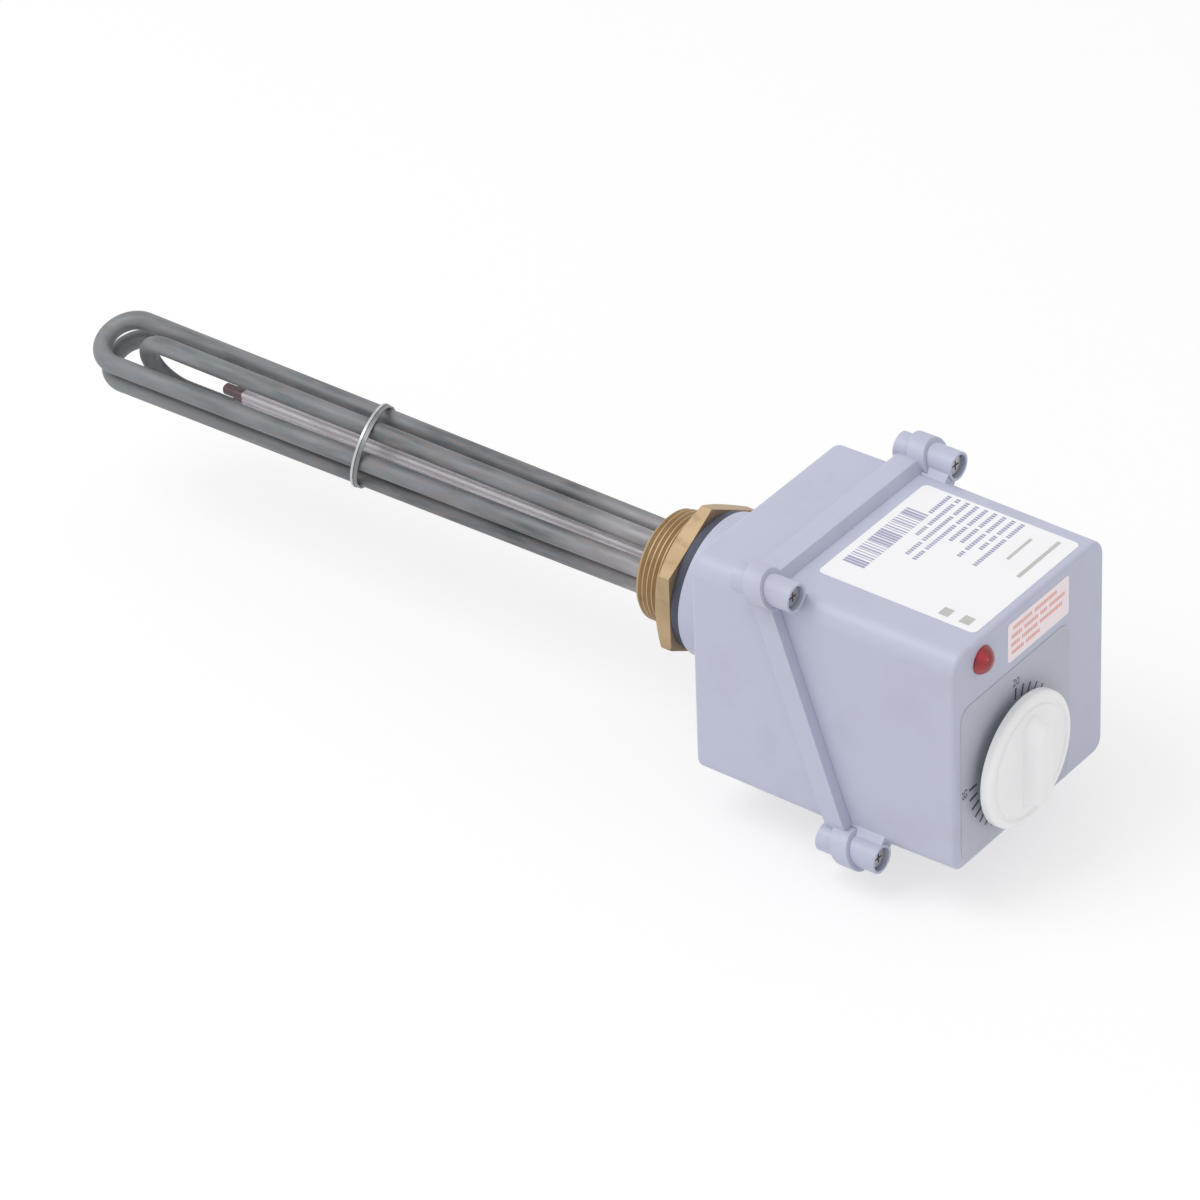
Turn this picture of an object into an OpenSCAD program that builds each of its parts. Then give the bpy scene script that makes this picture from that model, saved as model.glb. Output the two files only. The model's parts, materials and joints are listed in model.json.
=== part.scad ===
// Screw plug immersion heater: a brass plug with three hairpin elements and a moulded control housing.
// X runs along the screw axis: the elements point to -X, the adjusting knob to +X, the label side is +Z.
// The origin is on the screw axis, at the hexagon's sealing face against the tank.

/* [Screw plug] */
// Major diameter of the parallel pipe thread
thread_d = 47.8; // [40:0.1:60]
// Length of the thread towards the tank
thread_len = 15; // [12:0.5:24]
// Width across the flats of the hexagon
hex_af = 60; // [56:0.5:70]
// Thickness of the hexagon
hex_t = 7.5; // [6:0.5:12]
// Diameter of the spigot inside the housing
spigot_d = 39; // [36:0.5:42]
// Chamfer at the thread's end and on the hexagon's corners
plug_chamfer = 1.5; // [0.5:0.1:2]

/* [Heating elements] */
// Diameter of the element tubes
tube_d = 8; // [6:0.1:8.5]
// Distance of the two outer hairpins' planes from the axis
outer_plane = 6.2; // [5.5:0.1:6.6]
// Half spacing of an outer hairpin's legs at the plug
outer_half_plug = 10.4; // [9.5:0.1:11]
// Bend radius of the outer hairpins at their tips
outer_bend_r = 12.6; // [11:0.1:14]
// Half spacing of the cross hairpin's legs at the plug
cross_half_plug = 12.1; // [11.5:0.1:12.6]
// Bend radius of the cross hairpin at its tip
cross_bend_r = 14.3; // [13:0.1:16]
// Distance from the sealing face to the outer hairpins' bend centres
outer_reach = 297; // [200:1:400]
// How far the cross hairpin's bend centre is set back from the outer ones
cross_setback = 23; // [20:1:40]
// Angle of the outer hairpins' planes about the axis
element_turn = 21; // [0:1:45]
// Length of the element ends inside the housing, behind the spigot
element_tail = 9; // [6:0.5:12]

/* [Sensor pocket] */
// Outer diameter of the sensor pocket
pocket_d = 7.5; // [7:0.1:9]
// Inner diameter of the sensor pocket
pocket_bore_d = 6.3; // [6.2:0.05:6.6]
// Distance from the sealing face to the pocket's tip
pocket_reach = 247.5; // [160:0.5:262]
// Length of the pocket's narrow closing plug
pocket_tip_len = 7; // [4:0.5:10]
// Diameter of the narrow closing plug
pocket_tip_d = 5; // [3:0.1:6]

/* [Spacer band] */
// Distance from the sealing face to the band's middle
band_at = 167.7; // [120:0.1:200]
// Width of the band along the bundle
band_w = 3.2; // [2.4:0.1:6]
// Sheet thickness of the band
band_t = 0.7; // [0.5:0.1:1.5]
// Lean of the band on the bundle
band_lean = 18; // [0:1:20]

/* [Housing] */
// Thickness of the plug gasket
gasket_t = 4.5; // [2:0.5:6]
// Diameter of the housing's neck
neck_d = 61.6; // [58:0.2:70]
// Length of the neck, from the gasket to the housing's back
neck_len = 23; // [16:0.5:30]
// Depth of the housing from its back to its front
house_depth = 125; // [112:1:160]
// Width of the housing at the joint
house_w = 105.6; // [102:0.2:120]
// Height of the housing at the joint
house_h = 104.2; // [102:0.2:120]
// Wall thickness of the housing
wall = 3.9; // [3.5:0.1:4.5]
// Narrowing of each side over the depth of a shell, for its release from the mould
draft = 0.9; // [0:0.1:1.2]
// Radius of the housing's upper long edges
edge_r = 8.6; // [8:0.2:12]
// Radius of the housing's lower long edges
low_edge_r = 6; // [5:0.5:10]
// Radius of the cover's front edges
front_edge_r = 1.8; // [1:0.1:4]
// Distance from the housing's back to the slanted joint, on the axis
joint_at = 59.8; // [56:0.2:66]
// Slant of the joint from upright
joint_slant = 19.6; // [12:0.1:22]
// Height of the rear housing's rim over its sides
rim_h = 5; // [3:0.1:6]
// Width of the rim along the axis
rim_w = 9.6; // [8:0.1:12]

/* [Cover screws] */
// How far the boss axes stand outside the housing's sides
boss_out = 2.6; // [1:0.1:4]
// Diameter of the cover's bosses
boss_d = 12.4; // [11.6:0.1:14]
// Length of a cover boss in front of the joint
boss_len = 13.5; // [11:0.5:18]
// Diameter of the cover screws
screw_d = 3.8; // [3:0.1:4.2]
// Diameter of the screw heads
screw_head_d = 7.8; // [7:0.1:8.6]
// Depth of the recess for a screw head in a cover boss
screw_recess = 4.4; // [3.5:0.1:7]

/* [Front] */
// Knob axis, sideways from the screw axis
dial_y = -12.6; // [-14:0.1:-6]
// Knob axis, up from the screw axis
dial_z = -15.5; // [-17:0.1:-8]
// Width of the dial plate
dial_w = 75.2; // [64:0.2:78]
// Height of the dial plate
dial_h = 72.9; // [64:0.1:74]
// Diameter of the knob
knob_d = 57.8; // [45:0.2:60]
// Clear height under the knob's rim
knob_lift = 4.4; // [3:0.1:8]
// Thickness of the knob's rim
knob_rim_t = 4.6; // [4:0.1:10]
// Height of the knob's grip over the rim
grip_h = 8; // [5:0.5:14]
// Diameter of the regulator's spindle
spindle_d = 6; // [5:0.1:8]
// Diameter of the pilot lamp's lens
lamp_d = 12; // [9:0.1:13]

/* [Cable gland] */
// Thread diameter of the cable gland
gland_d = 20; // [16:0.5:25]
// Diameter of the cable opening in the gland's seal
cable_d = 10; // [6:0.1:11]
// Distance from the housing's back to the gland's axis
gland_at = 40; // [36:0.5:44]

/* [Hidden] */
$fn = 96;
// Clearance of parts brazed, pressed or screwed together
fit_gap = 0.05;
// Clearance of parts that only pass one another
pass_gap = 0.3;
// Swell of a bent tube where it was formed, and its lap with the straight
swell = 0.03;
lap = 0.4;
// Room between the band and the legs
band_gap = 0.2;
tube_r = tube_d / 2;
// Chamfers of the hexagon's corners, on the tank side and at the gasket
hex_chamfer = 2.5;
seat_chamfer = 0.5;
spigot_len = 10;
spigot_end = hex_t + gasket_t + spigot_len;
element_end = spigot_end + element_tail;
neck_x = hex_t + gasket_t;
back_x = neck_x + neck_len;
front_x = back_x + house_depth;
joint_x = back_x + joint_at;
cover_front_t = 3;
half_w = house_w / 2;
half_h = house_h / 2;
inner_w = house_w - 2 * wall - draft;
inner_h = house_h - 2 * wall - draft;
inner_r = edge_r - 2.5;
floor_x = back_x + wall;
ceiling_x = front_x - cover_front_t;
neck_floor_t = 4;
neck_floor_x = neck_x + neck_floor_t;
neck_wall = 3.5;
neck_bore_d = neck_d - 2 * neck_wall;
boss_y = half_w + boss_out;
boss_z = half_h + boss_out;
// Collar of the rear housing round each boss, in front of the joint by collar_out
collar_d = boss_d + 4;
collar_w = 8.2;
collar_out = 2.7;
// Blind end of each screw hole behind the rim
hump_d = boss_d - 0.4;
hump_len = 5;
web_w = boss_d * 0.62;
web_short = 0.8;
recess_d = boss_d - 2.4;
locknut_t = spigot_end - neck_floor_x;
locknut_room = 2.3;
locknut_d = neck_bore_d - 2 * locknut_room;
locknut_slot_w = 5;
locknut_slot_in = 2.2;
earth_screw_r = 2;
earth_r = (spigot_d + locknut_d) / 4;
earth_turn = element_turn;
// Pan head screws inside the housing: radius, bite, hole depth, head and its cross
pan_r = 1.5;
pan_bite = 2.5;
pan_hole = 2.6;
pan_head_r = 2.8;
pan_head_t = 1.8;
pan_cross = 0.7;
pin_d = 3;
pin_len = 18;
bead_t = 5;
bridge_t = 1.2;
bridge_x = element_end + 12;
groove_depth = 4;
tongue_len = 2.4;
tongue_t = 2;
groove_in = (wall - tongue_t) / 2;
groove_gap = 0.1;
tongue_w = inner_w + 2 * (groove_in + tongue_t);
tongue_h = inner_h + 2 * (groove_in + tongue_t);
tongue_r = inner_r + groove_in + tongue_t;
seal_t = groove_depth - tongue_len - groove_gap;
dial_t = 0.3;
// Place of the dial plate's middle, seen from the knob's axis
plate_side = 2.5;
plate_up = 3.7;
spindle_flat = 1.4;
knob_x = front_x + dial_t + knob_lift;
knob_front_x = knob_x + knob_rim_t;
lamp_y = -33;
lamp_dome = 4.2;
lamp_z = 41;
reg_w = 40;
reg_h = 36;
reg_depth = 26;
reg_screw_at = 14;
gland_x = back_x + gland_at;
gland_seat_z = -half_h - 0.9;
// Reach of the cutting blocks, larger than the housing
house_far = 400;

// Rod of radius r between two points on the X axis, or parallel to it at [y, z]
module x_rod(x0, x1, r, at = [0, 0])
{
    translate([x0, at[0], at[1]])
        rotate([0, 90, 0])
            cylinder(h = x1 - x0, r = r);
}

// Prism along X whose flat outline is given in Y and Z
module x_prism(x0, x1)
{
    translate([x0, 0, 0])
        rotate([90, 0, 90])
            linear_extrude(x1 - x0)
                children();
}

// Rod of radius r from point p to point q
module rod(p, q, r)
{
    v = q - p;
    len = norm(v);
    translate(p)
        rotate([0, acos(v[2] / len), atan2(v[1], v[0])])
            cylinder(h = len, r = r);
}

// Rectangle with true round corners, centred
module round_rect(w, h, r)
{
    square([w - 2 * r, h], center = true);
    square([w, h - 2 * r], center = true);
    for (y = [-1, 1], z = [-1, 1])
        translate([y * (w / 2 - r), z * (h / 2 - r)])
            circle(r);
}

// Frame between two round rectangles
module round_frame(w, h, r, t)
{
    difference() {
        round_rect(w, h, r);
        round_rect(w - 2 * t, h - 2 * t, r - t);
    }
}

// Everything behind the slanted joint, moved back from it by d
module behind_joint(d = 0)
{
    translate([joint_x, 0, 0])
        rotate([0, -joint_slant, 0])
            translate([-house_far - d, -house_far, -house_far])
                cube([house_far, 2 * house_far, 2 * house_far]);
}

// Place on the joint, at height z
function joint_at_z(z) = joint_x - tan(joint_slant) * z;

// Copies its child at each of the four boss axes, with its origin on the joint
module at_bosses()
{
    for (y = [-1, 1], z = [-1, 1])
        translate([joint_at_z(z * boss_z), y * boss_y, z * boss_z])
            children();
}

// Web that ties a boss at a corner of the housing to the corner's round edge
module boss_web(x0, x1, w)
{
    for (y = [-1, 1], z = [-1, 1])
        translate([joint_at_z(z * boss_z), y * boss_y, z * boss_z])
            rotate([atan2(-z, -y), 0, 0])
                translate([x0, 0, -w / 2])
                    cube([x1 - x0, boss_out + edge_r, w]);
}

// Legs of a hairpin in the X-Y plane, from the plug to the bend, with the bend itself
module hairpin(half_plug, bend_r, bend_x)
{
    kink_x = -thread_len - 2;
    reach = kink_x - bend_x;
    dist = norm([reach, half_plug]);
    turn = atan2(half_plug, reach) + acos(bend_r / dist);
    for (side = [-1, 1]) {
        tangent = [bend_x + bend_r * cos(turn), side * bend_r * sin(turn), 0];
        kink = [kink_x, side * half_plug, 0];
        rod([element_end, side * half_plug, 0], kink, tube_r);
        translate(kink)
            sphere(tube_r + swell);
        rod(kink, tangent + lap * (tangent - kink) / norm(tangent - kink), tube_r);
    }
    translate([bend_x, 0, 0])
        rotate(turn)
            rotate_extrude(angle = 360 - 2 * turn)
                translate([bend_r, 0])
                    circle(tube_r + swell);
}

// Copies its child at each element leg's place in the plug
module at_legs(which = [0, 1, 2, 3, 4, 5])
{
    places = [for (z = [-1, 1], y = [-1, 1]) [y * outer_half_plug, z * outer_plane]];
    cross = [[0, -cross_half_plug], [0, cross_half_plug]];
    legs = concat(places, cross);
    for (i = which)
        rotate([element_turn, 0, 0])
            translate([0, legs[i][0], legs[i][1]])
                children();
}

module screw_plug()
{
    color([0.67, 0.57, 0.42])
    difference() {
        union() {
            rotate([0, 90, 0])
                rotate_extrude()
                    polygon([[0, -thread_len], [thread_d / 2 - plug_chamfer, -thread_len],
                        [thread_d / 2, -thread_len + plug_chamfer], [thread_d / 2, 0.5],
                        [spigot_d / 2, 0.5], [spigot_d / 2, spigot_end - 1],
                        [spigot_d / 2 - 1, spigot_end], [0, spigot_end]]);
            intersection() {
                x_prism(0, hex_t)
                    rotate(90)
                        circle(hex_af / sqrt(3), $fn = 6);
                rotate([0, 90, 0])
                    hex_chamfers();
            }
        }
        at_legs()
            x_rod(-thread_len - 1, spigot_end + 1, tube_r + fit_gap);
        x_rod(-thread_len - 1, spigot_end + 1, pocket_d / 2 + fit_gap);
    }
}

// Disc that takes the hexagon's corners off, more on the tank side than at the gasket
module hex_chamfers()
{
    corner = hex_af / sqrt(3);
    rotate_extrude()
        polygon([[0, 0], [hex_af / 2 - pass_gap, 0], [corner + fit_gap, hex_chamfer],
            [corner + fit_gap, hex_t - seat_chamfer], [corner - seat_chamfer, hex_t], [0, hex_t]]);
}

module heating_element_upper()
{
    color([0.5, 0.5, 0.52])
    rotate([element_turn, 0, 0])
        translate([0, 0, outer_plane])
            hairpin(outer_half_plug, outer_bend_r, -outer_reach);
}

module heating_element_lower()
{
    color([0.5, 0.5, 0.52])
    rotate([element_turn, 0, 0])
        translate([0, 0, -outer_plane])
            hairpin(outer_half_plug, outer_bend_r, -outer_reach);
}

module heating_element_cross()
{
    color([0.55, 0.55, 0.56])
    rotate([element_turn + 90, 0, 0])
        hairpin(cross_half_plug, cross_bend_r, -outer_reach + cross_setback);
}

module sensor_pocket()
{
    tip_x = -pocket_reach;
    shoulder_x = tip_x + pocket_tip_len;
    color([0.68, 0.66, 0.66])
    difference() {
        rotate([0, 90, 0])
            rotate_extrude()
                polygon([[0, tip_x], [pocket_tip_d / 2 - 1, tip_x], [pocket_tip_d / 2, tip_x + 1],
                    [pocket_tip_d / 2, shoulder_x], [pocket_d / 2 - 0.6, shoulder_x],
                    [pocket_d / 2, shoulder_x + 0.6], [pocket_d / 2, element_end - 1], [0, element_end - 1]]);
        x_rod(shoulder_x + 2, element_end, pocket_bore_d / 2);
    }
}

// Round bar of radius r about the axis, cut off from x0 to x1 square to the band's lean
module leaning_disc(x0, x1, r)
{
    // Direction of the lean about the axis
    lean_turn = 138.6;
    intersection() {
        x_rod(-2 * r, 2 * r, r);
        rotate([lean_turn, 0, 0])
            rotate([0, 0, -band_lean])
                translate([x0, -2 * r, -2 * r])
                    cube([x1 - x0, 4 * r, 4 * r]);
    }
}

module spacer_band()
{
    lip_w = 1.1;
    lip_t = 0.3;
    share = (band_at - thread_len) / (outer_reach - cross_setback - thread_len);
    leg_at = cross_half_plug + (cross_bend_r - cross_half_plug) * share;
    band_r = leg_at + tube_r + band_gap;
    color([0.62, 0.62, 0.64])
    translate([-band_at, 0, 0])
        difference() {
            union() {
                leaning_disc(-band_w / 2, band_w / 2, band_r + band_t);
                leaning_disc(-band_w / 2, -band_w / 2 + lip_w, band_r + band_t + lip_t);
            }
            x_rod(-2 * band_r, 2 * band_r, band_r);
        }
}

module plug_gasket()
{
    color([0.3, 0.31, 0.37])
    difference() {
        x_rod(hex_t, neck_x, hex_af / 2 - 0.2);
        x_rod(hex_t - 1, neck_x + 1, spigot_d / 2 + pass_gap);
    }
}

module plug_locknut()
{
    color([0.72, 0.6, 0.4])
    difference() {
        x_rod(neck_floor_x, spigot_end, locknut_d / 2);
        x_rod(neck_floor_x - 1, spigot_end + 1, spigot_d / 2 + fit_gap);
        x_rod(neck_floor_x + 1, spigot_end + 1, earth_screw_r + fit_gap,
            earth_r * [cos(earth_turn), sin(earth_turn)]);
        for (turn = [0 : 90 : 270])
            rotate([turn + earth_turn + 45, 0, 0])
                translate([neck_floor_x - 1, locknut_d / 2 - locknut_slot_in, -locknut_slot_w / 2])
                    cube([locknut_t + 2, 2 * locknut_slot_in, locknut_slot_w]);
    }
}

module earth_screw()
{
    at = earth_r * [cos(earth_turn), sin(earth_turn)];
    color([0.75, 0.73, 0.6])
    difference() {
        union() {
            x_rod(neck_floor_x + 1.2, spigot_end, earth_screw_r, at);
            x_rod(spigot_end, spigot_end + 2.6, 3.3, at);
        }
        translate([spigot_end + 1.4, at[0] - 4, at[1] - 0.5])
            cube([2.6, 8, 1]);
    }
}

module terminal_pins()
{
    color([0.7, 0.7, 0.68])
    at_legs()
        x_rod(element_end, element_end + pin_len, pin_d / 2);
}

module terminal_beads()
{
    color([0.9, 0.88, 0.84])
    at_legs()
        difference() {
            x_rod(element_end, element_end + bead_t, tube_r - 0.4);
            x_rod(element_end - 1, element_end + bead_t + 1, pin_d / 2 + fit_gap);
        }
}

module terminal_nuts()
{
    color([0.7, 0.68, 0.62])
    at_legs()
        difference() {
            x_prism(bridge_x + bridge_t, bridge_x + bridge_t + 2.4)
                circle(3.1, $fn = 6);
            x_rod(bridge_x, bridge_x + bridge_t + 4, pin_d / 2 + fit_gap);
        }
}

module star_bridge()
{
    hub_r = 7.6;
    arm_w = 6;
    leg_turn = atan2(outer_plane, outer_half_plug);
    color([0.78, 0.66, 0.4])
    difference() {
        union() {
            x_rod(bridge_x, bridge_x + bridge_t, hub_r);
            at_legs([0, 3, 5])
                x_rod(bridge_x, bridge_x + bridge_t, 3.6);
            for (turn = [90, leg_turn, 180 + leg_turn])
                rotate([element_turn + turn, 0, 0])
                    translate([bridge_x, hub_r - 2, -arm_w / 2])
                        cube([bridge_t, cross_half_plug - hub_r + 2, arm_w]);
        }
        at_legs([0, 3, 5])
            x_rod(bridge_x - 1, bridge_x + bridge_t + 1, pin_d / 2 + fit_gap);
        x_rod(bridge_x - 1, bridge_x + bridge_t + 1, hub_r - 3);
    }
}

// Drafted shell form: a large end at the joint side and a rounded small end
module shell_form(end_x, wide_x, r_end)
{
    dir = wide_x > end_x ? 1 : -1;
    hull() {
        for (y = [-1, 1], z = [-1, 1]) {
            r = z > 0 ? edge_r : low_edge_r;
            translate([end_x + dir * r_end, y * (half_w - draft - r), z * (half_h - draft - r)])
                rotate([0, 90, 0])
                    rotate_extrude($fn = 40)
                        translate([r - r_end, 0])
                            circle(r_end, $fn = 24);
            translate([wide_x, y * (half_w - r), z * (half_h - r)])
                rotate([0, 90, 0])
                    cylinder(h = 0.02, r = r, $fn = 40);
        }
    }
}

// Round bars at the boss axes, ending on a plane in front of the joint
module boss_collars(r)
{
    intersection() {
        at_bosses()
            x_rod(-rim_w, rim_w, r);
        translate([collar_out, 0, 0])
            behind_joint();
    }
}

module rear_housing()
{
    color([0.74, 0.75, 0.82])
    difference() {
        union() {
            intersection() {
                shell_form(back_x, back_x + house_depth, 2);
                behind_joint();
            }
            x_rod(neck_x, back_x + 1, neck_d / 2);
            difference() {
                intersection() {
                    x_prism(back_x, front_x)
                        round_rect(house_w + 2 * rim_h, house_h + 2 * rim_h, edge_r + rim_h);
                    behind_joint();
                }
                translate([-rim_w, 0, 0])
                    behind_joint();
            }
            difference() {
                boss_collars(collar_d / 2);
                translate([collar_out - collar_w, 0, 0])
                    behind_joint();
            }
            at_bosses()
                x_rod(-rim_w - hump_len, -rim_w / 2, hump_d / 2);
            boss_web(-rim_w - hump_len + web_short, -rim_w / 2, web_w);
            translate([gland_x, 0, gland_seat_z])
                cylinder(h = wall, r = gland_d / 2 + 5);
        }
        x_prism(floor_x, front_x)
            round_rect(inner_w, inner_h, inner_r);
        x_rod(neck_floor_x, floor_x + 1, neck_bore_d / 2);
        x_rod(neck_x - 1, neck_floor_x + 1, spigot_d / 2 + pass_gap);
        difference() {
            x_prism(back_x, front_x)
                round_frame(tongue_w + 2 * groove_gap, tongue_h + 2 * groove_gap, tongue_r + groove_gap,
                    tongue_t + 2 * groove_gap);
            behind_joint(groove_depth);
        }
        at_bosses()
            x_rod(-rim_w - hump_len + 2.5, rim_w, screw_d / 2 + fit_gap);
        translate([gland_x, 0, gland_seat_z - 1])
            cylinder(h = wall + 6, r = gland_d / 2 + pass_gap);
        for (y = [-1, 1]) {
            x_rod(floor_x - pan_hole, floor_x + 1, pan_r + fit_gap, [y * block_screw_y, block_z]);
            x_rod(floor_x - pan_hole, floor_x + 1, pan_r + fit_gap, [y * bracket_screw_y, bracket_screw_z]);
        }
    }
}

module front_cover()
{
    color([0.73, 0.74, 0.81])
    difference() {
        union() {
            difference() {
                union() {
                    shell_form(front_x, back_x + 20, front_edge_r);
                    at_bosses()
                        x_rod(-8, boss_len, boss_d / 2);
                    boss_web(-8, boss_len - web_short, web_w);
                }
                behind_joint();
                boss_collars(collar_d / 2 + groove_gap);
            }
            intersection() {
                difference() {
                    x_prism(back_x, front_x)
                        round_frame(tongue_w, tongue_h, tongue_r, tongue_t);
                    behind_joint(tongue_len);
                }
                translate([1, 0, 0])
                    behind_joint();
            }
        }
        x_prism(back_x, ceiling_x)
            round_rect(inner_w, inner_h, inner_r);
        at_bosses() {
            x_rod(-8, boss_len + 1, screw_d / 2 + pass_gap);
            x_rod(boss_len - screw_recess, boss_len + 1, recess_d / 2);
        }
        x_rod(ceiling_x - 1, front_x + 1, spindle_d / 2 + 2, [dial_y, dial_z]);
        for (z = [-1, 1])
            x_rod(ceiling_x - 1, front_x + 1, pan_r + pass_gap, [dial_y, dial_z + z * reg_screw_at]);
        x_rod(ceiling_x - 1, front_x + 1, lamp_d / 2 - 1, [lamp_y, lamp_z]);
    }
}

module cover_seal()
{
    color([0.15, 0.15, 0.16])
    intersection() {
        difference() {
            x_prism(back_x, front_x)
                round_frame(tongue_w, tongue_h, tongue_r, tongue_t);
            behind_joint(groove_depth);
        }
        behind_joint(groove_depth - seal_t);
    }
}

module cover_screws()
{
    head_t = 2.6;
    head_x = boss_len - screw_recess;
    color([0.35, 0.34, 0.36])
    at_bosses()
        difference() {
            union() {
                x_rod(-rim_w - hump_len + 4, head_x, screw_d / 2);
                x_rod(head_x, head_x + head_t, screw_head_d / 2);
            }
            for (turn = [0, 90])
                rotate([turn, 0, 0])
                    translate([head_x + head_t - 1.3, -2.2, -0.5])
                        cube([2, 4.4, 1]);
        }
}

// Terminal block on the housing's back wall, under the neck opening
block_w = 58;
block_h = 15;
block_base_t = 9;
block_t = 20;
block_z = -inner_h / 2 + block_h / 2 + 0.6;
block_screw_y = block_w / 2 - 4;
pole_w = 9.4;
pole_pitch = 11.4;
clamp_r = 2.2;
clamp_x = floor_x + block_base_t + 6.2;

module terminal_block()
{
    color([0.88, 0.87, 0.82])
    difference() {
        union() {
            translate([floor_x, -block_w / 2, block_z - block_h / 2])
                cube([block_base_t, block_w, block_h]);
            for (i = [-1.5 : 1 : 1.5])
                translate([floor_x, i * pole_pitch - pole_w / 2, block_z - block_h / 2 + 1])
                    cube([block_t, pole_w, block_h - 2]);
        }
        for (i = [-1.5 : 1 : 1.5]) {
            translate([floor_x + block_base_t + 4, i * pole_pitch, block_z - block_h])
                cylinder(h = 2 * block_h, r = 2);
            x_rod(clamp_x, floor_x + block_t + 1, clamp_r + fit_gap, [i * pole_pitch, block_z]);
        }
        for (y = [-1, 1])
            x_rod(floor_x - 1, floor_x + block_base_t + 1, pan_r + pass_gap, [y * block_screw_y, block_z]);
    }
}

module terminal_clamp_screws()
{
    top = floor_x + block_t - 0.5;
    color([0.72, 0.7, 0.64])
    for (i = [-1.5 : 1 : 1.5])
        difference() {
            x_rod(clamp_x + fit_gap, top, clamp_r, [i * pole_pitch, block_z]);
            translate([top - 0.8, i * pole_pitch - 3, block_z - 0.4])
                cube([2, 6, 0.8]);
        }
}

// Pan head screw along X, its head standing on x1 towards +X
module pan_screw(x0, x1, at)
{
    difference() {
        union() {
            x_rod(x0, x1, pan_r, at);
            x_rod(x1, x1 + pan_head_t, pan_head_r, at);
        }
        for (turn = [0, 90])
            translate([x1 + pan_head_t / 2, at[0], at[1]])
                rotate([turn, 0, 0])
                    translate([0, -pan_r, -pan_cross / 2])
                        cube([pan_head_t, 2 * pan_r, pan_cross]);
    }
}

module terminal_block_screws()
{
    color([0.72, 0.7, 0.64])
    for (y = [-1, 1])
        pan_screw(floor_x - pan_bite, floor_x + block_base_t, [y * block_screw_y, block_z]);
}

// Sheet bracket on the back wall that carries the limiter over the neck opening
bracket_t = 1.5;
bracket_w = 44;
bracket_h = 16;
bracket_len = 28;
bracket_z = 29;
bracket_screw_y = 18;
bracket_screw_z = bracket_z + bracket_h / 2;
limiter_w = 24;
limiter_h = 14;
limiter_len = 24;

module limiter_bracket()
{
    color([0.7, 0.7, 0.7])
    difference() {
        union() {
            translate([floor_x, -bracket_w / 2, bracket_z])
                cube([bracket_t, bracket_w, bracket_h]);
            translate([floor_x, -limiter_w / 2, bracket_z])
                cube([bracket_len, limiter_w, bracket_t]);
        }
        for (y = [-1, 1])
            x_rod(floor_x - 1, floor_x + bracket_t + 1, pan_r + pass_gap, [y * bracket_screw_y, bracket_screw_z]);
    }
}

module limiter_bracket_screws()
{
    color([0.72, 0.7, 0.64])
    for (y = [-1, 1])
        pan_screw(floor_x - pan_bite, floor_x + bracket_t, [y * bracket_screw_y, bracket_screw_z]);
}

module limiter_body()
{
    x0 = floor_x + bracket_t + 1;
    z0 = bracket_z + bracket_t;
    color([0.86, 0.84, 0.78])
    union() {
        translate([x0, -limiter_w / 2, z0])
            cube([limiter_len, limiter_w, limiter_h]);
        for (y = [-1, 1])
            translate([x0 + limiter_len, y * 7 - 3.2, z0 + 9])
                cube([7, 6.4, 0.8]);
    }
}

// Smooth point at share t between b and c, with a and d as their neighbours
function spline(a, b, c, d, t) = 0.5 * (2 * b + (c - a) * t + (2 * a - 5 * b + 4 * c - d) * t * t
    + (3 * b - a - 3 * c + d) * t * t * t);

// Route points with steps smooth points between each pair
function smooth_route(p, steps) = let (n = len(p))
    concat([for (i = [0 : n - 2], s = [0 : steps - 1])
        spline(p[max(i - 1, 0)], p[i], p[i + 1], p[min(i + 2, n - 1)], s / steps)], [p[n - 1]]);

// Closed tube of radius r along a route, with its end faces square to X
module tube_along(points, r, sides)
{
    n = len(points);
    dirs = [for (i = [0 : n - 1]) i == 0 || i == n - 1 ? [1, 0, 0]
        : (points[i + 1] - points[i - 1]) / norm(points[i + 1] - points[i - 1])];
    rings = [for (i = [0 : n - 1])
        let (side = cross([0.05, 0.1, 1], dirs[i]), u = side / norm(side), v = cross(dirs[i], u))
            for (k = [0 : sides - 1])
                points[i] + r * (cos(360 * k / sides) * u + sin(360 * k / sides) * v)];
    walls = [for (i = [0 : n - 2], k = [0 : sides - 1])
        [i * sides + k, (i + 1) * sides + k, (i + 1) * sides + (k + 1) % sides, i * sides + (k + 1) % sides]];
    first = [for (k = [0 : sides - 1]) k];
    last = [for (k = [sides - 1 : -1 : 0]) (n - 1) * sides + k];
    polyhedron(rings, concat(walls, [first, last]), convexity = 6);
}

// Sensing bulb in the pocket with its capillary to a point in the housing
bulb_d = 3;
bulb_len = 150;
capillary_d = 1.2;
bulb_lead = 40;
bulb_off = bulb_d / 2 + fit_gap;

module sensing_bulb(side, route)
{
    bulb_x = -pocket_reach + pocket_tip_len + 4;
    x_rod(bulb_x, bulb_x + bulb_len, bulb_d / 2, [0, side * bulb_off]);
    inside = [for (x = [bulb_x + bulb_len - 1, bulb_x + bulb_len + bulb_lead, element_end, bridge_x + bridge_t])
        [x, 0, side * bulb_off]];
    tube_along(smooth_route(concat(inside, route), 6), capillary_d / 2, 8);
}

limiter_front_x = floor_x + bracket_t + 1 + limiter_len;
reg_back_x = ceiling_x - reg_depth;

module limiter_bulb()
{
    route = [[limiter_front_x, 0, 6], [limiter_front_x + 16, -2, 18], [limiter_front_x + 16, -2, 30],
        [limiter_front_x + 4, 0, bracket_z + 6], [limiter_front_x, 0, bracket_z + 6]];
    color([0.72, 0.5, 0.36])
    sensing_bulb(1, route);
}

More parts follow.
